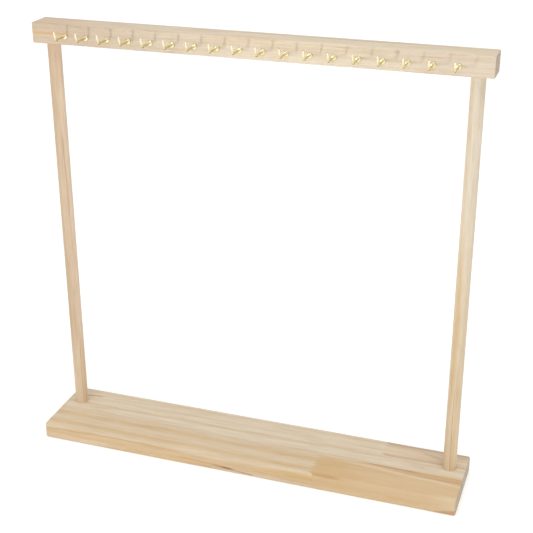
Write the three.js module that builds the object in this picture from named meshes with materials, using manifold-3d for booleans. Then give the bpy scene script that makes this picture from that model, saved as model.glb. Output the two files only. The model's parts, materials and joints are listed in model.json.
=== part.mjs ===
// A tabletop loom stand for stringing and braiding: a pine base board, two dowel posts and a
// pine rail with a row of brass screw hooks along its front, fixed from below by two wood screws.
// Millimetres, +Z up. The origin is the middle of the base's underside, and the hooks face -Y.

import * as THREE from "three";
import { RoundedBoxGeometry } from "three/addons/geometries/RoundedBoxGeometry.js";
import { mergeVertices } from "three/addons/utils/BufferGeometryUtils.js";
import Module from "manifold-3d";

const wasm = await Module();
wasm.setup();

// ---- Driving dimensions ----

const BASE = { length: 402, depth: 74, thickness: 16, edgeRadius: 1.5 };
const RAIL = { length: 400, depth: 24, height: 18, edgeRadius: 1 };

const POST = {
  diameter: 12,
  spacing: 372, // centre to centre
  exposed: 364, // between the base's top and the rail's underside
  tenon: 8, // how far each end goes into its socket
  behindMiddle: 12.5, // the posts stand behind the middle of the base
  endChamfer: 0.5,
  sides: 24,
};

const SOCKET_CLEARANCE = 0.15; // glue gap round a post's end, on the radius

const HOOK = {
  count: 18,
  pitch: 20,
  rowShift: 1.8, // the row stands a little to the right of the rail's middle
  aboveRailUnderside: 7.5,
  wireDiameter: 1.8,
  reach: 16, // from the collar's back to the line of the upturned leg
  rise: 7.9, // from the shank's axis to the leg's end
  lean: THREE.MathUtils.degToRad(15), // the leg leans out from the rail
  bendRadius: 1.8,
  collarDiameter: 4.8,
  collarThickness: 1.5,
  standoff: 0.3, // between the collar and the rail
  wireSides: 8,
  collarSides: 12,
};

const HOOK_THREAD = {
  length: 12,
  pitch: 1.8,
  rootRadius: 0.75,
  crestRadius: 1.05,
  plainLength: 2, // under the collar, where the wire has no thread
  plainRadius: 0.9,
  pointLength: 2,
  sides: 6,
};

const HOOK_BORE = { radius: 1.3, depth: 13, sides: 8 };

const SCREW = {
  headDiameter: 7,
  headRecess: 0.5, // how deep the head sits in the base's underside
  rimHeight: 0.4,
  coneHeight: 2.2,
  thread: {
    length: 24,
    pitch: 2.8,
    rootRadius: 1.15,
    crestRadius: 1.75,
    plainLength: 5,
    plainRadius: 1.6,
    pointLength: 3,
    sides: 8,
  },
  crossLength: 4.2,
  crossWidth: 0.9,
  crossDepth: 1.6,
  sides: 16,
  clearance: 0.2, // round the head and the shank, on the radius
  boreSpare: 1, // how far the bore in the post runs past the screw's point
  boreCone: 1, // height of the cone at the bore's end
};

const CUT_OVERRUN = 1; // how far a cutter runs past the face that it opens

// ---- Derived places ----

const railUnderside = BASE.thickness + POST.exposed;
const railFront = POST.behindMiddle - RAIL.depth / 2;
const postLength = POST.exposed + 2 * POST.tenon;
const postFoot = BASE.thickness - POST.tenon;
const postPlaces = { left: -POST.spacing / 2, right: POST.spacing / 2 };
const hookHeight = railUnderside + HOOK.aboveRailUnderside;
const screwLength = SCREW.rimHeight + SCREW.coneHeight + SCREW.thread.length;

const hookPlaces = Array.from(
  { length: HOOK.count },
  (_, i) => HOOK.rowShift + (i - (HOOK.count - 1) / 2) * HOOK.pitch,
);

// ---- Materials ----

const wood = (color) => new THREE.MeshStandardMaterial({ color, roughness: 0.62, metalness: 0 });
const metal = (color, roughness) => new THREE.MeshStandardMaterial({ color, roughness, metalness: 1 });

const materials = {
  board: wood(0xddc49c),
  dowel: wood(0xdfc6a2),
  rail: wood(0xe2ceb0),
  brass: metal(0xd9b95c, 0.25),
  zinc: metal(0xb9bcc0, 0.35),
};

// ---- Helpers ----

// A closed geometry as a manifold-3d solid.
function toSolid(geometry) {
  const bare = geometry.clone();
  bare.deleteAttribute("normal");
  bare.deleteAttribute("uv");
  const merged = mergeVertices(bare);
  return new wasm.Manifold(
    new wasm.Mesh({
      numProp: 3,
      vertProperties: merged.attributes.position.array,
      triVerts: new Uint32Array(merged.index.array),
    }),
  );
}

function toGeometry(solid) {
  const mesh = solid.getMesh();
  const geometry = new THREE.BufferGeometry();
  geometry.setAttribute("position", new THREE.BufferAttribute(mesh.vertProperties, 3));
  geometry.setIndex(new THREE.BufferAttribute(mesh.triVerts, 1));
  geometry.computeVertexNormals();
  return geometry;
}

function join(...geometries) {
  return toGeometry(geometries.map(toSolid).reduce((whole, piece) => whole.add(piece)));
}

function cut(geometry, cutters) {
  const solid = toSolid(geometry);
  return toGeometry(cutters.map(toSolid).reduce((whole, cutter) => whole.subtract(cutter), solid));
}

// A solid of revolution about Z, from [radius, height] pairs that run upwards from axis to axis.
function turned(profile, sides) {
  const points = profile.map(([radius, height]) => new THREE.Vector2(radius, height));
  return new THREE.LatheGeometry(points, sides).rotateX(Math.PI / 2);
}

// A screw thread along -Z from the origin: plain under the head, then one ridge that winds round
// the core, then a gimlet point. The overlap above the origin joins it to the head.
function threadGeometry(thread) {
  const { length, pitch, rootRadius, crestRadius, plainLength, plainRadius, pointLength, sides } = thread;
  const overlap = 0.3;
  const rowsPerTurn = 3;
  const tipShare = 0.15;
  const rows = Math.round((rowsPerTurn * length) / pitch);
  const geometry = new THREE.CylinderGeometry(1, 1, length + overlap, sides, rows);
  geometry.rotateX(Math.PI / 2).translate(0, 0, (overlap - length) / 2);
  const position = geometry.attributes.position;
  for (let i = 0; i < position.count; i++) {
    const x = position.getX(i);
    const y = position.getY(i);
    const depth = -position.getZ(i);
    const turn = depth / pitch + Math.atan2(y, x) / (2 * Math.PI);
    const ridge = 0.5 + 0.5 * Math.cos(2 * Math.PI * turn);
    const threaded = rootRadius + (crestRadius - rootRadius) * ridge;
    const point = THREE.MathUtils.clamp((length - depth) / pointLength, tipShare, 1);
    const radius = depth < plainLength ? plainRadius : threaded * point;
    position.setXY(i, x * radius, y * radius);
  }
  return geometry;
}

// ---- Hook ----

// The line of the hook's wire: out along +Z, round the bend, and up the leg. It has one station at
// each end of the straight runs and several round the bend.
class HookLine extends THREE.Curve {
  constructor({ from, reach, rise, lean, bendRadius }) {
    super();
    const turn = Math.PI / 2 - lean;
    const bendStart = reach - bendRadius * Math.tan(turn / 2);
    const bendSteps = 4;
    this.points = [new THREE.Vector3(0, 0, from)];
    for (let i = 0; i <= bendSteps; i++) {
      const angle = (turn * i) / bendSteps;
      const y = bendRadius * (1 - Math.cos(angle));
      const z = bendStart + bendRadius * Math.sin(angle);
      this.points.push(new THREE.Vector3(0, y, z));
    }
    this.points.push(new THREE.Vector3(0, rise, reach + rise * Math.tan(lean)));
    this.tangents = this.points.map((_, i) => {
      const angle = THREE.MathUtils.clamp((i - 1) / bendSteps, 0, 1) * turn;
      return new THREE.Vector3(0, Math.sin(angle), Math.cos(angle));
    });
    this.steps = this.points.length - 1;
  }

  getPointAt(t) {
    return this.points[Math.round(t * this.steps)].clone();
  }

  getTangentAt(t) {
    return this.tangents[Math.round(t * this.steps)].clone();
  }
}

// The shank's axis is Z, the leg rises along +Y, and the collar's back is at z = 0.
function hookGeometry() {
  const wireRadius = HOOK.wireDiameter / 2;
  const collarRadius = HOOK.collarDiameter / 2;
  const line = new HookLine({ ...HOOK, from: HOOK.collarThickness / 2 });
  const section = new THREE.Shape().absarc(0, 0, wireRadius, 0, 2 * Math.PI);
  const wire = new THREE.ExtrudeGeometry(section, {
    extrudePath: line,
    steps: line.steps,
    curveSegments: HOOK.wireSides,
  });
  const collar = turned(
    [
      [0, 0],
      [collarRadius, 0],
      [collarRadius, 0.4 * HOOK.collarThickness],
      [0.85 * collarRadius, 0.8 * HOOK.collarThickness],
      [0.52 * collarRadius, HOOK.collarThickness],
      [0, HOOK.collarThickness],
    ],
    HOOK.collarSides,
  );
  return join(threadGeometry(HOOK_THREAD), collar, wire);
}

function makeHooks() {
  const geometry = hookGeometry();
  return hookPlaces.map((x, i) => {
    const hook = new THREE.Mesh(geometry, materials.brass);
    hook.name = `hook_${String(i + 1).padStart(2, "0")}`;
    hook.position.set(x, railFront - HOOK.standoff, hookHeight);
    hook.rotation.x = Math.PI / 2;
    return hook;
  });
}

// ---- Wood ----

function makeRail() {
  const { length, depth, height, edgeRadius } = RAIL;
  const bar = new RoundedBoxGeometry(length, depth, height, 2, edgeRadius);
  bar.translate(0, POST.behindMiddle, railUnderside + height / 2);
  const socketRadius = POST.diameter / 2 + SOCKET_CLEARANCE;
  const sockets = Object.values(postPlaces).map((x) =>
    turned(
      [
        [0, -CUT_OVERRUN],
        [socketRadius, -CUT_OVERRUN],
        [socketRadius, POST.tenon],
        [0, POST.tenon],
      ],
      POST.sides,
    ).translate(x, POST.behindMiddle, railUnderside),
  );
  const { radius, depth: boreDepth, sides } = HOOK_BORE;
  const bores = hookPlaces.map((x) =>
    new THREE.CylinderGeometry(radius, radius, boreDepth + CUT_OVERRUN, sides).translate(
      x,
      railFront + (boreDepth - CUT_OVERRUN) / 2,
      hookHeight,
    ),
  );
  const rail = new THREE.Mesh(cut(bar, [...sockets, ...bores]), materials.rail);
  rail.name = "top_rail";
  return rail;
}

function makeBase() {
  const { length, depth, thickness, edgeRadius } = BASE;
  const board = new RoundedBoxGeometry(length, depth, thickness, 2, edgeRadius);
  board.translate(0, 0, thickness / 2);
  const socketRadius = POST.diameter / 2 + SOCKET_CLEARANCE;
  const headRadius = SCREW.headDiameter / 2 + SCREW.clearance;
  const shankRadius = SCREW.thread.crestRadius + SCREW.clearance;
  const rimTop = SCREW.headRecess + SCREW.rimHeight;
  const screwedSockets = Object.values(postPlaces).map((x) =>
    turned(
      [
        [0, -CUT_OVERRUN],
        [headRadius, -CUT_OVERRUN],
        [headRadius, rimTop],
        [shankRadius, rimTop + SCREW.coneHeight],
        [shankRadius, postFoot],
        [socketRadius, postFoot],
        [socketRadius, thickness + CUT_OVERRUN],
        [0, thickness + CUT_OVERRUN],
      ],
      POST.sides,
    ).translate(x, POST.behindMiddle, 0),
  );
  const base = new THREE.Mesh(cut(board, screwedSockets), materials.board);
  base.name = "base_board";
  return base;
}

// A dowel with chamfered ends and a bore up its foot for the screw.
function makePosts() {
  const radius = POST.diameter / 2;
  const chamfer = POST.endChamfer;
  const boreRadius = SCREW.thread.crestRadius + SCREW.clearance;
  const boreDepth = SCREW.headRecess + screwLength + SCREW.boreSpare - postFoot;
  const dowel = turned(
    [
      [0, boreDepth],
      [boreRadius, boreDepth - SCREW.boreCone],
      [boreRadius, 0],
      [radius - chamfer, 0],
      [radius, chamfer],
      [radius, postLength - chamfer],
      [radius - chamfer, postLength],
      [0, postLength],
    ],
    POST.sides,
  );
  return Object.entries(postPlaces).map(([side, x]) => {
    const post = new THREE.Mesh(dowel, materials.dowel);
    post.name = `${side}_post`;
    post.position.set(x, POST.behindMiddle, postFoot);
    return post;
  });
}

// ---- Base screws ----

// A countersunk wood screw that points up: its head's face is at z = 0.
function screwGeometry() {
  const headRadius = SCREW.headDiameter / 2;
  const headHeight = SCREW.rimHeight + SCREW.coneHeight;
  const head = turned(
    [
      [0, 0],
      [headRadius, 0],
      [headRadius, SCREW.rimHeight],
      [SCREW.thread.plainRadius, headHeight],
      [0, headHeight],
    ],
    SCREW.sides,
  );
  const shank = threadGeometry(SCREW.thread).rotateX(Math.PI).translate(0, 0, headHeight);
  const slot = new THREE.BoxGeometry(SCREW.crossLength, SCREW.crossWidth, 2 * SCREW.crossDepth);
  return cut(join(head, shank), [slot, slot.clone().rotateZ(Math.PI / 2)]);
}

function makeScrews() {
  const geometry = screwGeometry();
  return Object.entries(postPlaces).map(([side, x]) => {
    const screw = new THREE.Mesh(geometry, materials.zinc);
    screw.name = `${side}_base_screw`;
    screw.position.set(x, POST.behindMiddle, SCREW.headRecess);
    return screw;
  });
}

// ---- Assembly ----

const loom = new THREE.Group();
loom.add(makeBase(), ...makePosts(), makeRail(), ...makeHooks(), ...makeScrews());

export default loom;
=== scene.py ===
"""The looks of a hook rail loom stand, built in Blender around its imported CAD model.

Every piece is in metres, in the part's own frame: +X along the rail, -Y towards the person who
faces the hooks, +Z up, with the origin in the middle of the base's underside.
"""

import json
import math

import bpy
from mathutils import Matrix, Vector


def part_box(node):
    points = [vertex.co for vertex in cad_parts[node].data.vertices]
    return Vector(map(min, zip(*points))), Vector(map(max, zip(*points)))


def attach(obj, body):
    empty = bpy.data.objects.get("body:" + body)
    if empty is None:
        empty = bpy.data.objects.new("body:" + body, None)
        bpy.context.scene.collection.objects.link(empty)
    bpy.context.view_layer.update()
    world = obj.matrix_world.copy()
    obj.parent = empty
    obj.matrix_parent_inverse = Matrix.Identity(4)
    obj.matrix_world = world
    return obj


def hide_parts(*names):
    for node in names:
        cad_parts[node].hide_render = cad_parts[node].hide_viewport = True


MM = 0.001

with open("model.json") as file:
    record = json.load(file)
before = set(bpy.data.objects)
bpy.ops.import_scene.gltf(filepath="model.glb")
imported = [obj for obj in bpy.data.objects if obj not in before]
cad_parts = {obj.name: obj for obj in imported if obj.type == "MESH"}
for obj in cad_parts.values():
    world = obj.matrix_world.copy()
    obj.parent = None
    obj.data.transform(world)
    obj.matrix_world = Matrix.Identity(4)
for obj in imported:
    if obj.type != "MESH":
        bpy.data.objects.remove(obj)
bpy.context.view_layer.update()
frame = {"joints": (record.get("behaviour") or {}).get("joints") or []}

# ---- Places, from the frame ----

BASE_LOW, BASE_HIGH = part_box("base_board")
RAIL_LOW, RAIL_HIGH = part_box("top_rail")
POST_BOXES = {name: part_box(name) for name in ("left_post", "right_post")}
SCREW_BOXES = {name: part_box(name) for name in ("left_base_screw", "right_base_screw")}
HOOK_JOINTS = [joint for joint in frame["joints"] if joint["name"].endswith("_turn")]

# ---- Directions ----

OUTWARD = Vector((0, -1, 0))  # out of the rail's front, as the hooks point
UP = Vector((0, 0, 1))

# ---- Sizes of the finer shapes ----

WOOD_SHARP_ANGLE = math.radians(32)
WIRE_SHARP_ANGLE = math.radians(50)
SCREW_SHARP_ANGLE = math.radians(40)

BASE_EDGE = 1.7 * MM
RAIL_EDGE = 1.0 * MM
EDGE_VARIATION = 0.16  # how much of an edge's radius its hand sanding varies
EDGE_WAVES = (31, 73)  # how fast two overlaid waves of that sanding run, in radians a metre
EDGE_WAVE_START = 1.3
END_EASE = 0.6  # how fast an edge's radius shrinks as the bar's end rounds over
BAR_STEP = 4 * MM
EDGE_STEPS = 5

CUT_PAST = 1.0 * MM  # how far a cutter runs past the face that it opens
SOCKET_GAP = 0.06 * MM
POST_CHAMFER = 0.5 * MM
POST_BORE_RADIUS = 1.95 * MM
POST_BORE_DEPTH = 20 * MM
BORE_TIP_RADIUS = 0.1 * MM
BORE_TIP_LENGTH = 1.0 * MM
POST_BORE_SIDES = 32
ROUND_SIDES = 64

WIRE_RADIUS = 0.9 * MM
HOOK_REACH = 16 * MM
HOOK_RISE = 7.9 * MM
HOOK_LEAN = math.radians(15)
BEND_RADIUS = 1.8 * MM
BEND_STEPS = 14
COLLAR_RADIUS = 2.36 * MM
COLLAR_DOME = 1.15 * MM  # how far the collar stands out past its joint's place
COLLAR_DOME_SHARE = 0.6  # how much of that is rounded
COLLAR_DOME_STEPS = 10
COLLAR_BEVEL = (0.15 * MM, 0.12 * MM)  # inwards, and along the wire
COLLAR_LIP = 0.12 * MM  # the dome ends this far outside the wire
COLLAR_RUN = 0.08 * MM  # and meets the wire this much further on
COLLAR_GAP = 0.04 * MM  # between the collar's back and the rail
SHANK_START = 0.3 * MM  # how far past the collar the plain wire begins
THREAD_START = 0.02 * MM  # how far behind the collar's back the thread begins
TIP_EASE = 0.35 * MM
TIP_STEPS = 4
HOOK_SIDES = 28
HOOK_BORE_RADIUS = 1.3 * MM
HOOK_BORE_DEPTH = 13 * MM
HOOK_BORE_SIDES = 24

# A thread runs from its head to its point. Root and crest are radii, and plain is bare shank.
HOOK_THREAD = {
    "length": 12 * MM,
    "pitch": 1.8 * MM,
    "root": 0.74 * MM,
    "crest": 1.05 * MM,
    "plain": 2 * MM,
}
SCREW_THREAD = {
    "length": 24 * MM,
    "pitch": 2.8 * MM,
    "root": 1.12 * MM,
    "crest": 1.75 * MM,
    "plain": 5 * MM,
}
THREAD_ROWS = 10  # stations in one turn
THREAD_SHARPNESS = 1.6
THREAD_RUN_IN = 0.5  # of a turn, from the bare shank to the full ridge
SHANK_SHARE = 0.8  # how far the bare shank stands from root to crest
POINT_LENGTH = 1.6  # of the crest's radius
POINT_WIDTH = 0.12  # of the full width

SCREW_SIDES = 48
SCREW_HEAD_RADIUS = 3.45 * MM
SCREW_HEAD_BEVEL = 0.1 * MM
SCREW_RIM = 0.4 * MM
SCREW_CONE = 2.2 * MM
SCREW_HOLE_GAP = 0.2 * MM
SCREW_CROSS = (4.2 * MM, 0.9 * MM, 1.5 * MM)  # length, width and depth of the driver's recess
CROSS_TAPER = 0.7  # how wide the recess still is at its bottom
CROSS_STRAIGHT = 0.3  # how much of its depth has straight walls


# ---- Mesh helpers ----


def new_mesh(name, points, faces, smooth_angle=WOOD_SHARP_ANGLE):
    """A mesh object from points and faces, smooth shaded with sharp edges above smooth_angle."""
    mesh = bpy.data.meshes.new(name)
    mesh.from_pydata([tuple(point) for point in points], [], faces)
    mesh.validate()
    mesh.update()
    piece = bpy.data.objects.new(name, mesh)
    bpy.context.scene.collection.objects.link(piece)
    shade_smooth(piece, smooth_angle)
    return piece


def shade_smooth(piece, angle):
    """Smooth shading, with a sharp edge wherever two faces meet at more than the angle."""
    piece.data.shade_smooth()
    piece.data.set_sharp_from_angle(angle=angle)


def ring_faces(rings, sides):
    """Quads between neighbouring rings of points, with a flat face at each end."""
    faces = [tuple(reversed(range(sides)))]
    for ring in range(rings - 1):
        start = ring * sides
        for side in range(sides):
            here = start + side
            following = start + (side + 1) % sides
            faces.append((here, following, following + sides, here + sides))
    faces.append(tuple(range((rings - 1) * sides, rings * sides)))
    return faces


def turned(name, profile, sides=ROUND_SIDES, place=Vector()):
    """A solid turned about Z from (radius, height) pairs that run upwards, with none on the axis."""
    points = []
    for radius, height in profile:
        for side in range(sides):
            angle = math.tau * side / sides
            points.append(place + Vector((radius * math.cos(angle), radius * math.sin(angle), height)))
    return new_mesh(name, points, ring_faces(len(profile), sides))


def cut(piece, cutters):
    """Cuts the cutters out of the piece and deletes them."""
    for cutter in cutters:
        modifier = piece.modifiers.new("cut", "BOOLEAN")
        modifier.operation = "DIFFERENCE"
        modifier.solver = "EXACT"
        modifier.object = cutter
    graph = bpy.context.evaluated_depsgraph_get()
    result = bpy.data.meshes.new_from_object(piece.evaluated_get(graph))
    piece.modifiers.clear()
    piece.data = result
    for cutter in cutters:
        bpy.data.objects.remove(cutter)


def finish_piece(piece, body, node, material):
    """Stands the piece for its CAD node, on that node's body, with its material."""
    piece.data.materials.clear()
    piece.data.materials.append(material)
    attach(piece, body)
    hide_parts(node)


# ---- Bars with eased edges ----


def bar_stations(length, radius):
    """(place along the bar, inset) pairs: the ends are rounded over in quarter circles."""
    round_end = [
        (radius * (1 - math.cos(angle)), radius * (1 - math.sin(angle)))
        for angle in (math.pi / 2 * step / EDGE_STEPS for step in range(EDGE_STEPS + 1))
    ]
    middle = round((length - 2 * radius) / BAR_STEP)
    straight = [(radius + (length - 2 * radius) * i / middle, 0.0) for i in range(1, middle)]
    other_end = [(length - along, inset) for along, inset in reversed(round_end)]
    return round_end + straight + other_end


def rounded_section(half_depth, half_height, radius):
    """A rectangle with round corners, in (across, up) pairs, counter-clockwise seen from +X."""
    section = []
    for corner in range(4):
        turn = corner * math.pi / 2
        centre_across = (half_depth - radius) * (1 if corner in (0, 3) else -1)
        centre_up = (half_height - radius) * (1 if corner in (0, 1) else -1)
        for step in range(EDGE_STEPS + 1):
            angle = turn + math.pi / 2 * step / EDGE_STEPS
            section.append((centre_across + radius * math.cos(angle), centre_up + radius * math.sin(angle)))
    return section


def eased_bar(name, low, high, radius):
    """A bar along X whose eased edges vary a little in radius along their length."""
    centre = (low + high) / 2
    size = high - low
    points = []
    stations = bar_stations(size.x, radius)
    for along, inset in stations:
        wave = math.sin(along * EDGE_WAVES[0]) * math.sin(along * EDGE_WAVES[1] + EDGE_WAVE_START)
        edge = radius * (1 - EDGE_VARIATION * (1 + wave) / 2) - END_EASE * inset
        section = rounded_section(size.y / 2 - inset, size.z / 2 - inset, edge)
        points += [Vector((low.x + along, centre.y + across, centre.z + up)) for across, up in section]
    sides = len(points) // len(stations)
    return new_mesh(name, points, ring_faces(len(stations), sides))


# ---- Swept and threaded pieces ----


def swept(name, stations, sides):
    """A solid swept along a line that lies in the YZ plane of the piece.

    Each station is (place, direction, radius), and radius may be a function of the angle round.
    """
    points = []
    side_axis = Vector((1, 0, 0))
    for place, direction, radius in stations:
        up_axis = direction.cross(side_axis)
        for side in range(sides):
            angle = math.tau * side / sides
            reach = radius(angle) if callable(radius) else radius
            points.append(place + reach * (math.cos(angle) * side_axis + math.sin(angle) * up_axis))
    return new_mesh(name, points, ring_faces(len(stations), sides), WIRE_SHARP_ANGLE)


def thread_radius(thread, depth):
    """The radius round the thread as a function of the angle, at a depth below the head."""
    full_depth = thread["crest"] - thread["root"]
    from_point = (thread["length"] - depth) / (POINT_LENGTH * thread["crest"])
    to_point = min(1.0, POINT_WIDTH + (1 - POINT_WIDTH) * from_point)
    fade_in = min(1.0, max(0.0, (depth - thread["plain"]) / (THREAD_RUN_IN * thread["pitch"])))
    root = thread["root"] + (1 - fade_in) * SHANK_SHARE * full_depth
    crest = thread["root"] + max(fade_in, SHANK_SHARE) * full_depth

    def radius(angle):
        turn = depth / thread["pitch"] + angle / math.tau
        ridge = max(0.0, math.cos(math.tau * turn)) ** THREAD_SHARPNESS
        return to_point * (root + (crest - root) * ridge * fade_in)

    return radius


def thread_stations(thread, head, direction):
    """Stations along direction, from the thread's point to its head, which is at head."""
    rows = round(THREAD_ROWS * thread["length"] / thread["pitch"])
    stations = []
    for row in range(rows + 1):
        depth = thread["length"] * (1 - row / rows)
        stations.append((head - depth * direction, direction, thread_radius(thread, depth)))
    return stations


def hook_line(start):
    """(place, direction) pairs along the wire: out along -Y, round the bend and up the leg."""
    turn = math.pi / 2 - HOOK_LEAN
    bend_start = HOOK_REACH - BEND_RADIUS * math.tan(turn / 2)
    line = [(start * OUTWARD, OUTWARD)]
    for step in range(BEND_STEPS + 1):
        angle = turn * step / BEND_STEPS
        out = bend_start + BEND_RADIUS * math.sin(angle)
        rise = BEND_RADIUS * (1 - math.cos(angle))
        direction = math.cos(angle) * OUTWARD + math.sin(angle) * UP
        line.append((out * OUTWARD + rise * UP, direction))
    tip = (HOOK_REACH + HOOK_RISE * math.tan(HOOK_LEAN)) * OUTWARD + HOOK_RISE * UP
    leg_direction = line[-1][1]
    line.append((tip, leg_direction))
    return line


def rounded_tip(place, direction):
    """Stations that round the wire's cut end over, ending at place."""
    stations = []
    for step in range(TIP_STEPS + 1):
        angle = math.pi / 2 * step / TIP_STEPS
        back = TIP_EASE * (1 - math.sin(angle))
        radius = WIRE_RADIUS - TIP_EASE * (1 - math.cos(angle))
        stations.append((place - back * direction, direction, radius))
    return stations


def collar_profile(thickness):
    """(depth from the collar's back, radius) pairs: a short rim, then a dome down to the wire."""
    rim = thickness - COLLAR_DOME_SHARE * COLLAR_DOME
    lip = WIRE_RADIUS + COLLAR_LIP
    inwards, along = COLLAR_BEVEL
    profile = [(0.0, COLLAR_RADIUS - inwards), (along, COLLAR_RADIUS), (rim, COLLAR_RADIUS)]
    for step in range(1, COLLAR_DOME_STEPS + 1):
        angle = math.pi / 2 * step / COLLAR_DOME_STEPS
        radius = lip + (COLLAR_RADIUS - lip) * math.cos(angle)
        profile.append((rim + (thickness - rim) * math.sin(angle), radius))
    profile.append((thickness + COLLAR_RUN, WIRE_RADIUS))
    return profile


def make_hook(joint, material):
    """One square-bend screw hook: thread, collar, shank, bend and leg in a single solid."""
    anchor = Vector(joint["pos_m"])
    rail_face = Vector((anchor.x, RAIL_LOW.y, anchor.z))
    back = rail_face + COLLAR_GAP * OUTWARD
    thickness = (anchor - back).dot(OUTWARD) + COLLAR_DOME
    stations = thread_stations(HOOK_THREAD, back - THREAD_START * OUTWARD, OUTWARD)
    for depth, radius in collar_profile(thickness):
        stations.append((back + depth * OUTWARD, OUTWARD, radius))
    wire = [(anchor + place, direction) for place, direction in hook_line(COLLAR_DOME + SHANK_START)]
    stations += [(place, direction, WIRE_RADIUS) for place, direction in wire[:-1]]
    stations += rounded_tip(*wire[-1])
    node = joint["child"].removesuffix("_body")
    piece = swept(node + "_brass", stations, HOOK_SIDES)
    finish_piece(piece, joint["child"], node, material)


# ---- Wooden pieces ----


def post_centre(name):
    """The middle of a post."""
    low, high = POST_BOXES[name]
    return (low + high) / 2


def make_post(name, material):
    """A dowel with chamfered ends and a bore up its foot for the base screw."""
    low, high = POST_BOXES[name]
    radius = (high.x - low.x) / 2
    length = high.z - low.z
    steps = round(length / BAR_STEP)
    straight = [POST_CHAMFER + (length - 2 * POST_CHAMFER) * step / steps for step in range(steps + 1)]
    profile = [(radius - POST_CHAMFER, 0)]
    profile += [(radius, height) for height in straight]
    profile += [(radius - POST_CHAMFER, length)]
    centre = post_centre(name)
    foot = Vector((centre.x, centre.y, low.z))
    post = turned(name + "_wood", profile, place=foot)
    bore_profile = [
        (POST_BORE_RADIUS, -CUT_PAST),
        (POST_BORE_RADIUS, POST_BORE_DEPTH - BORE_TIP_LENGTH),
        (BORE_TIP_RADIUS, POST_BORE_DEPTH),
    ]
    cut(post, [turned("bore", bore_profile, POST_BORE_SIDES, foot)])
    shade_smooth(post, WOOD_SHARP_ANGLE)
    finish_piece(post, "frame", name, material)


def post_socket(name, bottom, top):
    """A cutter for the hole that a post stands in."""
    low, high = POST_BOXES[name]
    radius = (high.x - low.x) / 2 + SOCKET_GAP
    centre = post_centre(name)
    return turned("socket", [(radius, bottom), (radius, top)], place=Vector((centre.x, centre.y, 0)))


def make_rail(material):
    """The top rail, with a socket for each post and a bore for each hook."""
    rail = eased_bar("top_rail_wood", RAIL_LOW, RAIL_HIGH, RAIL_EDGE)
    cutters = [post_socket(name, RAIL_LOW.z - CUT_PAST, box[1].z) for name, box in POST_BOXES.items()]
    for joint in HOOK_JOINTS:
        anchor = Vector(joint["pos_m"])
        mouth = Vector((anchor.x, RAIL_LOW.y, anchor.z))
        stations = [
            (mouth + CUT_PAST * OUTWARD, -OUTWARD, HOOK_BORE_RADIUS),
            (mouth - HOOK_BORE_DEPTH * OUTWARD, -OUTWARD, HOOK_BORE_RADIUS),
        ]
        cutters.append(swept("bore", stations, HOOK_BORE_SIDES))
    cut(rail, cutters)
    shade_smooth(rail, WOOD_SHARP_ANGLE)
    finish_piece(rail, "frame", "top_rail", material)


def make_base(material):
    """The base board, with a socket for each post and a countersunk hole under it for its screw."""
    base = eased_bar("base_board_wood", BASE_LOW, BASE_HIGH, BASE_EDGE)
    cutters = []
    for post, screw in zip(POST_BOXES, SCREW_BOXES):
        post_foot = POST_BOXES[post][0].z
        cutters.append(post_socket(post, post_foot, BASE_HIGH.z + CUT_PAST))
        centre = post_centre(post)
        head = SCREW_BOXES[screw][0].z
        wide = SCREW_HEAD_RADIUS + SCREW_HOLE_GAP
        narrow = SCREW_THREAD["crest"] + SCREW_HOLE_GAP
        profile = [
            (wide, -CUT_PAST),
            (wide, head + SCREW_RIM),
            (narrow, head + SCREW_RIM + SCREW_CONE),
            (narrow, post_foot + CUT_PAST),
        ]
        cutters.append(turned("screw_hole", profile, SCREW_SIDES, Vector((centre.x, centre.y, 0))))
    cut(base, cutters)
    shade_smooth(base, WOOD_SHARP_ANGLE)
    finish_piece(base, "frame", "base_board", material)


# ---- Base screws ----


def make_screw(name, material):
    """A countersunk cross-head wood screw that points up, with its head in the base's underside."""
    low, high = SCREW_BOXES[name]
    centre = (low + high) / 2
    foot = Vector((centre.x, centre.y, low.z))
    head = [
        (0.0, SCREW_HEAD_RADIUS - SCREW_HEAD_BEVEL),
        (SCREW_HEAD_BEVEL, SCREW_HEAD_RADIUS),
        (SCREW_RIM, SCREW_HEAD_RADIUS),
    ]
    stations = [(foot + height * UP, UP, radius) for height, radius in head]
    throat = foot + (SCREW_RIM + SCREW_CONE) * UP
    for place, _, radius in reversed(thread_stations(SCREW_THREAD, throat, -UP)):
        stations.append((place, UP, radius))
    screw = swept(name + "_steel", stations, SCREW_SIDES)
    length, width, depth = SCREW_CROSS
    cut(screw, [recess_arm(foot, length, width, depth), recess_arm(foot, width, length, depth)])
    shade_smooth(screw, SCREW_SHARP_ANGLE)
    finish_piece(screw, "frame", name, material)


def recess_arm(foot, size_x, size_y, depth):
    """A cutter for one arm of the driver's recess: a tapered block from below foot up to depth."""
    levels = ((-CUT_PAST, 1.0), (CROSS_STRAIGHT * depth, 1.0), (depth, CROSS_TAPER))
    corners = ((1, 1), (-1, 1), (-1, -1), (1, -1))
    points = []
    for height, scale in levels:
        for sign_x, sign_y in corners:
            offset = Vector((sign_x * scale * size_x / 2, sign_y * scale * size_y / 2, height))
            points.append(foot + offset)
    return new_mesh("recess_arm", points, ring_faces(len(levels), len(corners)))


# ---- Materials: a small language for shader nodes ----


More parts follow.
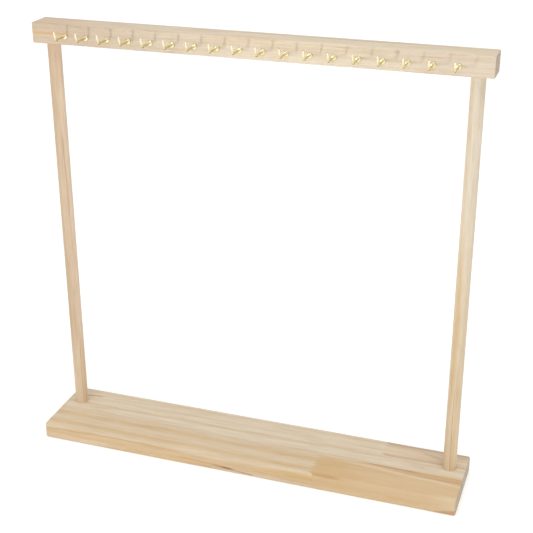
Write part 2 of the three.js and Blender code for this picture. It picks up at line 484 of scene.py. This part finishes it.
class Field:
    """A number that varies over a surface: a shader node's output, with plain arithmetic."""

    def __init__(self, graph, socket):
        self.graph = graph
        self.socket = socket

    def __add__(self, other):
        return self.graph.math("ADD", self, other)

    def __sub__(self, other):
        return self.graph.math("SUBTRACT", self, other)

    def __rsub__(self, other):
        return self.graph.math("SUBTRACT", other, self)

    def __mul__(self, other):
        return self.graph.math("MULTIPLY", self, other)

    def __truediv__(self, other):
        return self.graph.math("DIVIDE", self, other)

    __radd__ = __add__
    __rmul__ = __mul__

    def size(self):
        """The field without its sign."""
        return self.graph.math("ABSOLUTE", self)

    def fraction(self):
        """What is left above the next whole number down."""
        return self.graph.math("FRACT", self)

    def root(self):
        """The square root."""
        return self.graph.math("SQRT", self)

    def above(self, limit):
        """1 where the field is above the limit, else 0."""
        return self.graph.math("GREATER_THAN", self, limit)

    def rise(self, low, high):
        """A smooth step from 0 at low to 1 at high. It falls instead where low is above high."""
        return self.graph.smooth_step(self, low, high)


class Graph:
    """A material's node tree, built from Fields and colours."""

    def __init__(self, name):
        self.material = bpy.data.materials.new(name)
        self.material.use_nodes = True
        self.nodes = self.material.node_tree.nodes
        self.links = self.material.node_tree.links
        self.shader = self.nodes["Principled BSDF"]
        self.coordinates = self.nodes.new("ShaderNodeTexCoord")

    def feed(self, socket, value):
        """Links a field or a colour made by nodes to a socket, or sets a plain value on it."""
        if isinstance(value, Field):
            self.links.new(value.socket, socket)
        elif isinstance(value, bpy.types.NodeSocket):
            self.links.new(value, socket)
        elif isinstance(value, tuple):
            socket.default_value = (*value, 1) if len(socket.default_value) == 4 else value
        else:
            socket.default_value = value

    def math(self, operation, *values):
        """The result of one math node."""
        node = self.nodes.new("ShaderNodeMath")
        node.operation = operation
        for socket, value in zip(node.inputs, values):
            self.feed(socket, value)
        return Field(self, node.outputs["Value"])

    def smooth_step(self, value, low, high):
        """The smooth step of Field.rise. Limits that are fields have to rise."""
        node = self.nodes.new("ShaderNodeMapRange")
        node.interpolation_type = "SMOOTHSTEP"
        plain_limits = isinstance(low, (int, float)) and isinstance(high, (int, float))
        rising = not (plain_limits and low > high)
        self.feed(node.inputs["Value"], value)
        self.feed(node.inputs["From Min"], low if rising else high)
        self.feed(node.inputs["From Max"], high if rising else low)
        step = Field(self, node.outputs["Result"])
        return step if rising else 1 - step

    def split(self, vector):
        """A vector's three parts."""
        node = self.nodes.new("ShaderNodeSeparateXYZ")
        self.links.new(vector, node.inputs["Vector"])
        return [Field(self, output) for output in node.outputs]

    def millimetres(self):
        """The point's x, y and z in the part's frame, in millimetres."""
        return [axis * (1 / MM) for axis in self.split(self.coordinates.outputs["Object"])]

    def facing(self, axis):
        """1 on the flat faces across an axis of the part's frame, which end grain covers, else 0."""
        normal = self.split(self.coordinates.outputs["Normal"])
        return normal[axis].size().rise(0.55, 0.9)

    def noise(self, x, y, z, detail=2.0, roughness=0.5):
        """Smooth noise about 0, mostly between -0.25 and 0.25, with features about 1 across."""
        place = self.nodes.new("ShaderNodeCombineXYZ")
        for socket, value in zip(place.inputs, (x, y, z)):
            self.feed(socket, value)
        node = self.nodes.new("ShaderNodeTexNoise")
        self.links.new(place.outputs["Vector"], node.inputs["Vector"])
        node.inputs["Scale"].default_value = 1
        node.inputs["Detail"].default_value = detail
        node.inputs["Roughness"].default_value = roughness
        return Field(self, node.outputs["Fac"]) - 0.5

    def mix(self, share, first, second, blend="MIX"):
        """first where share is 0 and second where it is 1."""
        node = self.nodes.new("ShaderNodeMix")
        node.data_type = "RGBA"
        node.blend_type = blend
        colours = [socket for socket in node.inputs if socket.type == "RGBA"]
        self.feed(node.inputs["Factor"], share)
        self.feed(colours[0], first)
        self.feed(colours[1], second)
        return next(socket for socket in node.outputs if socket.type == "RGBA")

    def scale_colour(self, colour, share):
        """The colour with its brightness multiplied by share."""
        node = self.nodes.new("ShaderNodeVectorMath")
        node.operation = "SCALE"
        self.feed(node.inputs[0], colour)
        self.feed(node.inputs["Scale"], share)
        return node.outputs["Vector"]

    def bump(self, height, distance, strength):
        """Bumps the shader's surface by a height field whose full range stands for distance."""
        node = self.nodes.new("ShaderNodeBump")
        node.inputs["Strength"].default_value = strength
        node.inputs["Distance"].default_value = distance
        self.links.new(height.socket, node.inputs["Height"])
        self.links.new(node.outputs["Normal"], self.shader.inputs["Normal"])


# ---- Wood ----

PINE_DARK = (0.33, 0.17, 0.07)
PINE_WARMTH = (1, 0.86, 0.66)  # what the darker fibres are tinted with
PINE_IOR = 1.45
PINE_SPECULAR = 0.35
PINE_BUMP = (0.12 * MM, 0.55)  # distance in metres, and strength


class Grain:
    """The growth rings of one strip of timber, in millimetres.

    The rings are sheets that lean by tilt (radians) from upright, spacing apart, with one at
    middle. Late wood fills about width of each ring. curve bends the rings about bend_at, as they
    bend round the middle of the tree.
    """

    def __init__(
        self, tilt, spacing, middle, early, late,
        width=0.3, strength=1.0, wander=1.0, curve=0.0, bend_at=0.0,
    ):
        self.across_share = math.cos(tilt)
        self.up_share = math.sin(tilt)
        self.spacing = spacing
        self.middle = middle
        self.width = width
        self.early = early
        self.late = late
        self.curve = curve
        self.bend_at = bend_at
        self.strength = strength
        self.wander = wander


def choose(masks, values):
    """The value of the strip that each point is in. The masks add up to 1."""
    total = masks[0] * values[0]
    for mask, value in zip(masks[1:], values[1:]):
        total = total + mask * value
    return total


def joined_grain(graph, masks, grains):
    """One Grain whose numbers and colours change from strip to strip."""
    joined = Grain(0, 1, 0, grains[0].early, grains[0].late)
    for name in vars(joined):
        if name not in ("early", "late"):
            setattr(joined, name, choose(masks, [getattr(grain, name) for grain in grains]))
    for mask, grain in zip(masks[1:], grains[1:]):
        joined.early = graph.mix(mask, joined.early, grain.early)
        joined.late = graph.mix(mask, joined.late, grain.late)
    return joined


class Pine:
    """A piece of bare sanded pine on a graph.

    place is (along, across, up) in millimetres, with the grain running along.
    """

    def __init__(self, graph, place):
        self.graph = graph
        self.place = place

    def figure(self, length, fineness, detail, roughness=0.5):
        """Noise drawn out along the grain: its features are length long, with fineness a millimetre."""
        along, across, up = self.place
        return self.graph.noise(along / length, across * fineness, up * fineness, detail, roughness)

    def wander(self, length, width, detail, reach):
        """How far a line strays sideways, in millimetres, in waves of a length and width."""
        return self.figure(length, 1 / width, detail) * reach

    def streak(self, start, end, at, width, slope=0.0, sway=1.0, solid=0.35):
        """1 in a soft streak along the grain, and 0 away from it.

        at is the middle of the streak across and up, and width is its half thickness in each. It
        is at full strength over the solid share of its length. slope is how much it climbs, and
        sway is how far it wanders.
        """
        along, across, up = self.place
        reach = (end - start) / 2
        from_middle = along - (start + end) / 2
        taper = (from_middle / reach).size().rise(1.0, solid)
        shift = from_middle * slope - self.wander(38, 90, 1, 2.2 * sway)
        aside = (across - at[0] - shift) / width[0]
        above = (up - at[1] - shift) / width[1]
        return (aside * aside + above * above).root().rise(1.0, 0.15) * taper

    def layer(self, low, high, edge=0.5):
        """1 between two heights, which may slope as fields do, with borders that are soft over edge."""
        height = self.place[2] + self.wander(24, 60, 2, 2.4)
        return (height - low).rise(-edge, edge) * (high - height).rise(-edge, edge)

    def late_wood(self, grain):
        """1 in the late wood of the growth rings, and 0 in the early wood."""
        _, across, up = self.place
        wander = self.wander(150, 45, 1, 6) + self.wander(36, 8, 2, 2.4)
        plane = across * grain.across_share + up * grain.up_share
        side = up * grain.across_share - across * grain.up_share - grain.bend_at
        bent = plane + side * side * grain.curve + wander * grain.wander
        ring = (bent - grain.middle) / grain.spacing
        from_late = ((ring + 0.5).fraction() - 0.5) / grain.width
        # each ring darkens slowly and ends sharply, and fades in places along the grain
        late = from_late.rise(-1.15, -0.2) * from_late.rise(0.52, 0.2)
        fade = self.figure(75, 1 / 6, 1).rise(-0.28, 0.22)
        return late * (0.6 + 0.4 * fade) * grain.strength

    def finish(self, grain, marks, end_share, end_colour, contrast=1.0):
        """The finished material, with its colour, roughness and bump.

        marks are (share, colour) pairs laid over the grain, in order. end_share is 1 on end grain,
        and contrast is how strong the fine figure is.
        """
        graph = self.graph
        along, across, up = self.place
        late = self.late_wood(grain)
        bands = self.figure(60, 0.3, 2)
        lines = self.figure(30, 0.8, 3, 0.65)
        fibre = self.figure(14, 1.8, 3, 0.65)
        fine = self.figure(4, 5, 2, 0.6)
        cloud = self.figure(40, 1 / 9, 2)
        ducts = self.figure(9, 2.6, 1, 0.4).rise(0.19, 0.26)
        pores = graph.noise(along * 2, across * 3.4, up * 3.4, 2, 0.7)
        saw = graph.noise(along, across * 1.6, up / 7, 3, 0.6)

        colour = graph.mix(late, grain.early, grain.late)
        for share, mark_colour in marks:
            colour = graph.mix(share, colour, mark_colour)
        colour = graph.mix(ducts * 0.18, colour, PINE_DARK)
        warm = graph.mix(1, colour, PINE_WARMTH, "MULTIPLY")
        colour = graph.mix((bands + lines + cloud).rise(0.05, -0.40) * 0.35, colour, warm)
        shade = bands * 0.14 + lines * 0.32 + fibre * 0.20 + fine * 0.15 + cloud * 0.10
        colour = graph.scale_colour(colour, shade * contrast + 1.01)
        cut_end = graph.scale_colour(graph.mix(0.5, colour, end_colour), 0.93 + pores * 0.25 + saw * 0.8)
        graph.feed(graph.shader.inputs["Base Color"], graph.mix(end_share, colour, cut_end))

        roughness = 0.54 + fibre * 0.22 - late * 0.10 + end_share * 0.16
        graph.feed(graph.shader.inputs["Roughness"], roughness)
        graph.shader.inputs["IOR"].default_value = PINE_IOR
        graph.shader.inputs["Specular IOR Level"].default_value = PINE_SPECULAR
        side_height = (lines + fibre) * 0.5 + fine * 0.35 + late * 0.45 - ducts * 0.5
        end_height = pores * 1.4 + saw * 1.2
        graph.bump(side_height + end_share * end_height, *PINE_BUMP)
        return graph.material


# The board is glued up from three strips, and two of them are finger-jointed along their length.
# All lengths in these materials are in millimetres.
BACK_SEAM = 13.0
FRONT_SEAM = -4.5
FRONT_JOINT = 68.5
BACK_JOINT = 124.0
FINGER_PITCH = 4.6
FINGER_LENGTH = 4.6
UNDER = -9  # a height under the board, from which layers on its edge start
BOARD_END = (0.41, 0.395, 0.34)
RAIL_END = (0.38, 0.245, 0.19)
POST_END = (0.55, 0.46, 0.37)


class BoardStrips:
    """Which strip of the board each point is in, with 1 in it and 0 elsewhere, and the glue lines."""

    def __init__(self, graph, x, y):
        tooth = (((y / FINGER_PITCH).fraction() - 0.5).size() * 2 - 0.5) * FINGER_LENGTH
        back = y.above(BACK_SEAM)
        front = 1 - y.above(FRONT_SEAM)
        self.middle = 1 - back - front
        self.front_right = front * (x - tooth).above(FRONT_JOINT)
        self.front_left = front - self.front_right
        self.back_right = back * (x - tooth).above(BACK_JOINT)
        self.back_left = back - self.back_right
        seam_gap = graph.math("MINIMUM", (y - BACK_SEAM).size(), (y - FRONT_SEAM).size())
        self.seams = seam_gap.rise(0.16, 0.05)
        front_joint = (x - tooth - FRONT_JOINT).size().rise(0.22, 0.06) * front
        back_joint = (x - tooth - BACK_JOINT).size().rise(0.22, 0.06) * back
        self.joints = front_joint + back_joint


def board_grain(graph, strips):
    """The grain of all five pieces of the board."""
    pieces = [
        (
            strips.back_left,
            Grain(0.25, 11.6, 24.3, (0.68, 0.572, 0.426), (0.64, 0.51, 0.355), 0.28, 0.75, 0.8),
        ),
        (
            strips.back_right,
            Grain(0.5, 15.8, 20.8, (0.665, 0.53, 0.38), (0.59, 0.44, 0.295), 0.3, 0.9),
        ),
        (
            strips.middle,
            Grain(0.2, 12.3, 13.0, (0.672, 0.57, 0.43), (0.625, 0.48, 0.31), 0.28, 0.85),
        ),
        (
            strips.front_left,
            Grain(-0.68, 12.8, -19.6, (0.628, 0.50, 0.348), (0.592, 0.425, 0.238), 0.34, 1.0, 0.6),
        ),
        (
            strips.front_right,
            Grain(
                1.2, 6.5, 12.0, (0.625, 0.453, 0.27), (0.595, 0.413, 0.225),
                width=0.4, strength=0.2, curve=0.006, bend_at=22.0,
            ),
        ),
    ]
    return joined_grain(graph, *zip(*pieces))


def board_top_marks(pine, strips, edge_face):
    """(share, colour) pairs for the glue lines and the marks on the board's top."""
    x, y, _ = pine.place
    golden = x.rise(132, 76) * y.rise(-8, -13) * (strips.front_right - edge_face * 0.4)
    pale_band = pine.streak(70, 240, (-12.2, 16), (2.4, 9), -0.085, solid=0.7) * strips.front_right
    # a brown lens beside the front seam, between these two lines
    lens_back = -3.2 - (x - 110) * 0.014
    lens_front = x.rise(165, 210) * 1.8 - x.rise(104, 160) * 6.6 - 4.4
    lens = (y - lens_front).rise(-0.5, 0.6) * (lens_back - y).rise(-0.3, 0.3) * x.rise(102, 122)
    back_border = pine.streak(96, 330, (34.6, 16), (3.6, 9), solid=0.7) * strips.back_right
    seam_border = pine.streak(96, 330, (14.6, 16), (2.0, 9), solid=0.7) * strips.back_right
    slant = pine.streak(142, 196, (25.0, 16), (3.0, 9), -0.35) * strips.back_right
    return [
        (strips.seams * 0.12, PINE_DARK),
        (strips.joints * 0.16, PINE_DARK),
        # golden wood beyond the front finger joint, and a paler band along the lens
        (golden * 0.8, (0.585, 0.405, 0.205)),
        (pale_band * 0.9, (0.66, 0.535, 0.375)),
        # the lens and its dark borders
        (lens * 0.9, (0.57, 0.385, 0.21)),
        (pine.streak(104, 172, (-4.9, 16), (1.1, 9), -0.02) * 0.75, (0.42, 0.25, 0.12)),
        (pine.streak(146, 270, (-10.4, 16), (1.3, 9), 0.008) * 0.65, (0.42, 0.25, 0.12)),
        (pine.streak(150, 250, (-5.6, 16), (1.0, 9), -0.012) * 0.5, (0.47, 0.30, 0.17)),
        # the darker borders of the short piece at the back, and a slanting band on it
        (back_border * 0.75, (0.47, 0.34, 0.22)),
        (seam_border * 0.35, (0.52, 0.38, 0.25)),
        (slant * 0.5, (0.50, 0.37, 0.25)),
        # the browned edge of the left end, and a pitch streak beside the left post
        (x.rise(-197.5, -200) * y.rise(-14, 4) * 0.5, (0.50, 0.35, 0.20)),
        (pine.streak(-192, -165, (24.7, 16), (1.5, 5), 0.14, sway=0.3) * 0.85, (0.41, 0.245, 0.105)),
    ]


def board_edge_marks(pine, strips, edge_face):
    """(share, colour) pairs for the marks on the board's front edge."""
    x, y, z = pine.place
    tan_top = 13.8 - (x + 120) * (x + 120) * 0.00042
    tan = pine.layer(UNDER, tan_top) * x.rise(-14, -36) * edge_face
    tan_line = pine.layer(tan_top - 1.3, tan_top, 0.4) * x.rise(-30, -90) * edge_face
    pale_left = pine.layer(UNDER, 5.2, 1.5) * x.rise(-95, -170) * edge_face
    pale_right = pine.layer(UNDER, 4.2, 1.2) * x.rise(4, 90) * edge_face
    wedge = pine.layer(9.7 - x.rise(5, 60) * 2.0, 9.0 + x.rise(5, 32) * 4.5, 0.9) * x.rise(2, 12)
    wedge = wedge * edge_face * strips.front_left * (0.5 + x.rise(20, 50) * 0.4)
    flame = pine.streak(58, 101, (-36.0, 15.2), (2.6, 1.9), sway=0.3) * strips.front_right
    pale_end = x.rise(174, 196) * z.rise(4, 7) * y.rise(-30, -35)
    corner = pine.layer(UNDER, (x - 177) * 0.23, 0.6) * x.rise(178, 186) * edge_face
    return [
        # on the left, tan wood under a darker line, and paler wood along the bottom
        (tan * 0.85, (0.618, 0.448, 0.26)),
        (tan_line * 0.85, (0.53, 0.36, 0.195)),
        (pale_left * 0.75, (0.66, 0.53, 0.385)),
        # in the middle, a golden wedge up to the finger joint, and paler wood below it
        (wedge, (0.605, 0.41, 0.19)),
        (pale_right * 0.5, (0.66, 0.505, 0.31)),
        # a streak of bark with a dark core
        (pine.streak(-70, -16, (-37, 5.7), (4, 1.1), -0.03) * 0.9, (0.51, 0.33, 0.165)),
        (pine.streak(-30, -2, (-37, 4.5), (4, 1.9), -0.06, sway=0.4, solid=0.5) * 0.75, (0.43, 0.26, 0.15)),
        (pine.streak(-19, -6, (-37, 4.1), (4, 1.3), -0.06, sway=0.2, solid=0.4) * 0.85, (0.26, 0.11, 0.045)),
        (pine.streak(-12, 18, (-37, 2.7), (4, 0.8), -0.06, sway=0.3, solid=0.5) * 0.9, (0.40, 0.21, 0.12)),
        # on the right, a dark flame, a golden patch, a pale end with a tan line, and a brown corner
        (flame * 0.7, (0.47, 0.265, 0.11)),
        (pine.streak(132, 172, (-37, 7.0), (4, 3.6)) * 0.3, (0.62, 0.42, 0.20)),
        (pale_end * 0.6, (0.67, 0.54, 0.35)),
        (pine.streak(150, 206, (-37, 7.5), (4, 0.8), 0.1) * 0.4, (0.57, 0.40, 0.24)),
        (corner * 0.85, (0.52, 0.32, 0.175)),
    ]


def board_material():
    """Pine of the glued-up base board."""
    graph = Graph("pine_board")
    pine = Pine(graph, graph.millimetres())
    x, y, _ = pine.place
    strips = BoardStrips(graph, x, y)
    edge_face = y.rise(-33.5, -36)
    marks = board_top_marks(pine, strips, edge_face) + board_edge_marks(pine, strips, edge_face)
    contrast = 1 + strips.middle * 0.25 + strips.back_right * 0.3
    contrast = contrast - strips.front_right * (0.35 + edge_face * 0.35)
    return pine.finish(board_grain(graph, strips), marks, graph.facing(0), BOARD_END, contrast)


def rail_material():
    """Pine of the top rail, whose grain runs straight along it."""
    graph = Graph("pine_rail")
    pine = Pine(graph, graph.millimetres())
    x, y, _ = pine.place
    front = y.rise(3, 0.8)
    top = 1 - front
    grain = Grain(0.35, 7.0, 150.5, (0.725, 0.62, 0.475), (0.67, 0.535, 0.37), 0.35, 0.4)
    marks = [
        # the left is browner; the darker brown on its front is partly the wood's own tone and partly painted
        # shade that evens out the key lamp's stronger light at that end
        (x.rise(-50, -200) * 0.8, (0.635, 0.485, 0.345)),
        (x.rise(80, -150) * front * 0.52, (0.475, 0.38, 0.285)),
        # an orange streak at the left end, and one along the upper edge in the middle
        (pine.streak(-260, -150, (0, 389.3), (6, 2.8)) * 0.8, (0.58, 0.385, 0.195)),
        (pine.streak(-70, 110, (0, 396.4), (3.5, 1.5)) * 0.45, (0.69, 0.49, 0.27)),
        # a brown band and thin dark lines along the top
        (pine.streak(-90, 330, (18.6, 398), (2.0, 4), sway=1.8, solid=0.6) * 0.8, (0.56, 0.41, 0.27)),
        (pine.streak(-230, -30, (20.6, 398), (0.9, 3), sway=0.7, solid=0.7) * 0.45, (0.50, 0.38, 0.27)),
        (pine.streak(-150, 70, (15.4, 398), (0.8, 3), sway=0.7, solid=0.7) * 0.4, (0.52, 0.40, 0.28)),
        (pine.streak(-210, -70, (8.2, 398), (0.8, 3), sway=0.7, solid=0.7) * 0.35, (0.52, 0.40, 0.28)),
        (pine.streak(-20, 175, (10.8, 398), (0.8, 3), sway=0.7, solid=0.7) * 0.35, (0.55, 0.42, 0.28)),
        # a small knot, its other end on the top, short dark rings beside it, and a darker low edge
        (pine.streak(119.6, 126.4, (0, 395.4), (3, 2.0), sway=0.2) * 0.65, (0.55, 0.36, 0.21)),
        (pine.streak(112, 119, (12, 398), (2.6, 3), sway=0.2) * 0.35, (0.60, 0.42, 0.27)),
        (pine.streak(68, 90, (0, 395.6), (3, 0.8), 0.01, sway=0.4) * 0.6, (0.57, 0.38, 0.21)),
        (pine.streak(135, 165, (0, 393.2), (3, 0.7), 0.03, sway=0.4) * 0.7, (0.50, 0.33, 0.20)),
        (pine.streak(160, 182, (0, 396.6), (3, 0.8), 0.02, sway=0.4) * 0.65, (0.54, 0.35, 0.19)),
        (pine.streak(118, 206, (0, 380.0), (4, 1.1), sway=0.2) * 0.55, (0.52, 0.34, 0.20)),
        # the right is a little pinker on the front, and yellower on the top
        (x.rise(60, 190) * front * 0.4, (0.665, 0.553, 0.438)),
        (x.rise(0, 190) * top * 0.4, (0.69, 0.57, 0.405)),
    ]
    contrast = 1.3 + top * 0.3 - x.rise(60, 170) * front * 0.5
    return pine.finish(grain, marks, graph.facing(0), RAIL_END, contrast)


def left_post_wood(pine):
    """The left post's grain and marks: browner than the other, with dark lines."""
    height, right, _ = pine.place
    grain = Grain(0.3, 8.0, -3.0, (0.576, 0.439, 0.307), (0.54, 0.385, 0.24), 0.35, 0.6, 0.5)
    marks = [
        # yellower at the foot, paler to the right as painted light that lifts the shade on that side, and tan
        # again low down beside a dark line
        (height.rise(110, 16) * 0.8, (0.72, 0.575, 0.385)),
        (right.rise(1.5, 6.5) * 0.8, (0.76, 0.60, 0.44)),
        (pine.streak(-10, 100, (6.2, -3.6), (2.0, 5), sway=0.3, solid=0.6) * 0.45, (0.59, 0.41, 0.235)),
        (pine.streak(-10, 92, (4.3, -5.5), (0.6, 3), 0.004, sway=0.3, solid=0.6) * 0.7, (0.50, 0.31, 0.17)),
        # a brown left side with a darker line and a short stain
        (pine.streak(60, 460, (-4.6, -5.2), (2.0, 5), solid=0.7) * 0.4, (0.52, 0.36, 0.23)),
        (pine.streak(318, 400, (-4.4, -5.4), (0.9, 4), 0.01) * 0.6, (0.50, 0.33, 0.20)),
        (pine.streak(104, 130, (-2.6, -6.5), (1.6, 4), 0.05, sway=0.3) * 0.7, (0.57, 0.37, 0.20)),
        # thin dark lines, from the middle of its height up
        (pine.streak(200, 308, (4, -5.6), (0.9, 4), -0.012, sway=0.5, solid=0.5) * 0.85, (0.48, 0.32, 0.20)),
        (pine.streak(165, 215, (4.8, -5.2), (0.7, 4), -0.02, sway=0.5) * 0.5, (0.50, 0.34, 0.21)),
        (pine.streak(290, 470, (0.2, -6.8), (0.6, 4), 0.004, sway=0.6, solid=0.7) * 0.4, (0.50, 0.34, 0.21)),
        (pine.streak(250, 350, (-1.9, -6.6), (0.5, 4), sway=0.6) * 0.35, (0.50, 0.34, 0.21)),
    ]
    return grain, marks


def right_post_wood(pine):
    """The right post's grain and marks: pale, and golden towards the foot."""
    height = pine.place[0]
    grain = Grain(0.2, 12.0, -4.5, (0.728, 0.633, 0.50), (0.69, 0.55, 0.37), 0.3, 0.6, 0.5)
    marks = [
        (height.rise(330, 110) * 0.65, (0.67, 0.515, 0.325)),
        (pine.streak(60, 270, (-1.8, -6), (3.0, 5), sway=1.2) * 0.65, (0.645, 0.45, 0.235)),
        (height.rise(60, 16) * 0.5, (0.72, 0.57, 0.38)),
        # a golden streak up from the foot, with a dark line on its left
        (pine.streak(-10, 112, (2.6, -6), (2.2, 5), sway=0.3, solid=0.7) * 0.55, (0.63, 0.44, 0.235)),
        (pine.streak(-10, 108, (0.7, -6.4), (0.6, 4), -0.01, sway=0.3, solid=0.7) * 0.75, (0.54, 0.34, 0.17)),
    ]
    return grain, marks


POST_WOODS = {"left_post": left_post_wood, "right_post": right_post_wood}


def post_material(name):
    """Pine of one post, whose place is measured up it and from its middle."""
    graph = Graph("pine_" + name)
    x, y, z = graph.millimetres()
    centre = post_centre(name) / MM
    pine = Pine(graph, (z, x - centre.x, y - centre.y))
    grain, marks = POST_WOODS[name](pine)
    return pine.finish(grain, marks, graph.facing(2), POST_END)


# ---- Metal ----

SCRATCH_BUMP = (0.02 * MM, 0.4)  # distance in metres, and strength


def finish_metal(graph, colour, roughness, scratch):
    """The finished material of bare metal, bumped by its scratches."""
    graph.feed(graph.shader.inputs["Base Color"], colour)
    graph.shader.inputs["Metallic"].default_value = 1
    graph.feed(graph.shader.inputs["Roughness"], roughness)
    graph.bump(scratch, *SCRATCH_BUMP)
    return graph.material


def brass_material():
    """Polished brass: darker olive on the shank, with painted light: a paler leg for its bright reflection, a
    dimmer collar to tone down its highlight, and a dark reflection painted under the bend.
    """
    graph = Graph("polished_brass")
    x, y, z = graph.millimetres()
    tarnish = graph.noise(x / 2.4, y / 2.4, z / 2.4, 3, 0.6)
    scratch = graph.noise(x * 3, y * 0.8, z * 3, 3, 0.7)
    above_axis = z - HOOK_JOINTS[0]["pos_m"][2] / MM
    before_rail = RAIL_LOW.y / MM - y
    leg = above_axis.rise(1.5, 4.5)
    shank = before_rail.rise(2.0, 4.0) * (1 - leg)
    collar = before_rail.rise(2.6, 2.0)
    # where a dark reflection is painted, under each bend
    dark_reflection_under_bend = above_axis.rise(0.5, -0.5) * before_rail.rise(13.0, 15.0)
    colour = graph.mix(tarnish.rise(-0.05, 0.3), (0.93, 0.83, 0.50), (0.86, 0.72, 0.38))
    colour = graph.mix(shank * 0.8, colour, (0.74, 0.64, 0.31))
    # painted reflection: the upright leg is painted paler
    colour = graph.mix(leg * 0.6, colour, (0.97, 0.90, 0.70))
    # painted shade: the collar is dimmed to tone down its highlight
    colour = graph.mix(collar * 0.6, colour, (0.80, 0.72, 0.47))
    # the painted dark reflection under the bend
    colour = graph.mix(dark_reflection_under_bend * 0.9, colour, (0.13, 0.10, 0.04))
    roughness = 0.24 + tarnish * 0.18 + scratch * 0.10 + dark_reflection_under_bend * 0.3 + collar * 0.14
    return finish_metal(graph, colour, roughness, scratch)


def zinc_material():
    """Zinc-plated steel, with faint crystals in the zinc."""
    graph = Graph("zinc_plated_steel")
    x, y, z = graph.millimetres()
    spangle = graph.noise(x / 1.1, y / 1.1, z / 1.1, 3, 0.6)
    scratch = graph.noise(x * 4, y * 4, z * 1.2, 3, 0.7)
    colour = graph.mix(spangle.rise(-0.25, 0.25), (0.62, 0.63, 0.66), (0.74, 0.75, 0.76))
    return finish_metal(graph, colour, 0.34 + spangle * 0.25 + scratch * 0.15, scratch)


# ---- Stage, light and camera, in metres ----

FLOOR_REACH = 40
DOME_PROFILE = [(18, -1), (18, 6), (14, 13), (7, 17), (0.5, 18)]  # (radius, height)
WHITE = (1, 1, 1, 1)
SENSOR_WIDTH = 36  # in millimetres, as the lens is
NEAREST_SEEN = 0.05
FARTHEST_SEEN = 50


def plain(name, colour, roughness, glow):
    """A plain matt material, for the stage, that shines a little by itself."""
    material = bpy.data.materials.new(name)
    material.use_nodes = True
    shader = material.node_tree.nodes["Principled BSDF"]
    shader.inputs["Base Color"].default_value = (*colour, 1)
    shader.inputs["Roughness"].default_value = roughness
    shader.inputs["Emission Color"].default_value = WHITE
    shader.inputs["Emission Strength"].default_value = glow
    return material


def make_floor():
    """A wide sheet of white paper at the height of the base's underside."""
    corners = ((-1, -1), (1, -1), (1, 1), (-1, 1))
    points = [Vector((x * FLOOR_REACH, y * FLOOR_REACH, 0)) for x, y in corners]
    floor = new_mesh("floor", points, [(0, 1, 2, 3)])
    floor.data.materials.append(plain("floor_paper", (0.97, 0.97, 0.97), roughness=0.9, glow=0.1))


def make_backdrop():
    """A white dome round the stage that only the camera sees."""
    dome = turned("backdrop", DOME_PROFILE)
    dome.data.materials.append(plain("backdrop_white", (0, 0, 0), roughness=1, glow=1))
    dome.visible_diffuse = False
    dome.visible_glossy = False
    dome.visible_transmission = False
    dome.visible_shadow = False


def make_light(name, place, target, width, height, power):
    """An oval lamp that faces target, and that the camera doesn't see."""
    light = bpy.data.lights.new(name, "AREA")
    light.shape = "ELLIPSE"
    light.size = width
    light.size_y = height
    light.energy = power
    lamp = bpy.data.objects.new(name, light)
    lamp.location = place
    lamp.rotation_euler = (Vector(target) - Vector(place)).to_track_quat("-Z", "Y").to_euler()
    lamp.visible_camera = False
    bpy.context.scene.collection.objects.link(lamp)


def make_sun(name, direction, strength, angle):
    """A soft sun whose light comes from direction."""
    light = bpy.data.lights.new(name, "SUN")
    light.energy = strength
    light.angle = angle
    lamp = bpy.data.objects.new(name, light)
    lamp.rotation_euler = Vector(direction).to_track_quat("Z", "Y").to_euler()
    bpy.context.scene.collection.objects.link(lamp)


def make_world(strength):
    """Even white light from all round."""
    world = bpy.data.worlds.new("studio")
    world.use_nodes = True
    background = world.node_tree.nodes["Background"]
    background.inputs["Color"].default_value = WHITE
    background.inputs["Strength"].default_value = strength
    bpy.context.scene.world = world


def make_camera(place, yaw, pitch, roll, lens):
    """A camera at place, turned yaw to the left of +Y, tilted pitch down and rolled clockwise."""
    camera = bpy.data.cameras.new("camera")
    camera.lens = lens
    camera.sensor_width = SENSOR_WIDTH
    camera.clip_start = NEAREST_SEEN
    camera.clip_end = FARTHEST_SEEN
    holder = bpy.data.objects.new("camera", camera)
    turn = Matrix.Rotation(yaw, 4, "Z")
    tilt = Matrix.Rotation(math.pi / 2 - pitch, 4, "X")
    lean = Matrix.Rotation(roll, 4, "Z")
    holder.matrix_world = Matrix.Translation(place) @ turn @ tilt @ lean
    bpy.context.scene.collection.objects.link(holder)
    bpy.context.scene.camera = holder


make_camera(Vector((0.3082, -0.8563, 0.5987)), yaw=0.3301, pitch=0.4175, roll=-0.0024, lens=75.97)
bpy.context.scene.view_settings.view_transform = "Standard"
make_world(0.612)
make_light("key", (-0.25, -0.56, 0.32), target=(0, 0, 0.7), width=0.025, height=0.2, power=0.95)
make_light("fill", (0.7, -1.8, 0.6), target=(0, 0, 0.2), width=1.6, height=1.6, power=1.35)
make_sun("top", (0.15, -0.25, 1), strength=1.34, angle=math.radians(40))
make_floor()
make_backdrop()

make_base(board_material())
make_rail(rail_material())
for post_name in POST_BOXES:
    make_post(post_name, post_material(post_name))
brass = brass_material()
for hook_joint in HOOK_JOINTS:
    make_hook(hook_joint, brass)
zinc = zinc_material()
for screw_name in SCREW_BOXES:
    make_screw(screw_name, zinc)
